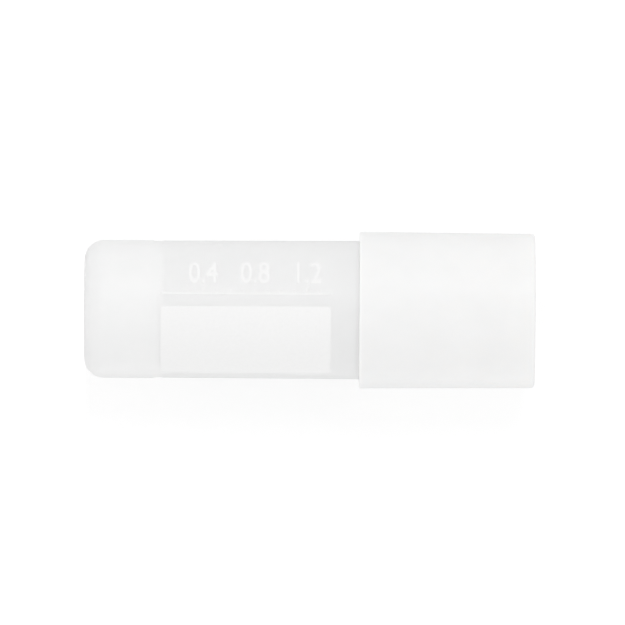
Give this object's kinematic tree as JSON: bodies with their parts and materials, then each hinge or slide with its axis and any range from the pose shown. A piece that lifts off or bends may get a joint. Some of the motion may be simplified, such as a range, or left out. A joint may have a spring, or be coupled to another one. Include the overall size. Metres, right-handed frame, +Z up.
{
  "type": "cryovial",
  "caption": "Self-standing translucent sample vial with a tall milky screw cap, a white writing patch and volume marks, for storing small liquid samples in deep cold.",
  "frame": {"origin": "centre of the foot's lowest plane, on the vial's axis", "axes": "+Z up along the vial's axis from foot to cap; -Y is the printed side, with the writing patch running from -Y towards +X and the volume marks lying towards -X"},
  "size_m": [0.0142, 0.0142, 0.041],
  "materials": {
    "translucent_polypropylene": "natural, translucent moulded polypropylene with a satin surface",
    "white_ink": "matt white printed ink that takes pencil and marker",
    "silicone_rubber": "soft off-white silicone",
    "milky_polyethylene": "milky white moulded plastic with a smooth satin surface"
  },
  "bodies": {
    "tube_body": {"tube": "translucent_polypropylene", "writing_patch": "white_ink", "graduation_marks": "white_ink"},
    "seal_body": {"gasket": "silicone_rubber"},
    "cap_body": {"cap": "milky_polyethylene"}
  },
  "joints": [
    {"name": "cap_rise", "type": "slide", "parent": "tube_body", "child": "seal_body", "axis": [0, 0, 1], "range_m": [0, 0.012]},
    {"name": "cap_turn", "type": "hinge", "parent": "seal_body", "child": "cap_body", "pos_m": [0, 0, 0.035], "axis": [0, 0, 1], "range_deg": [0, 1440]}
  ],
  "couplings": [
    {"joint": "cap_turn", "follows": "cap_rise", "rad_per_m": 2094.4}
  ]
}
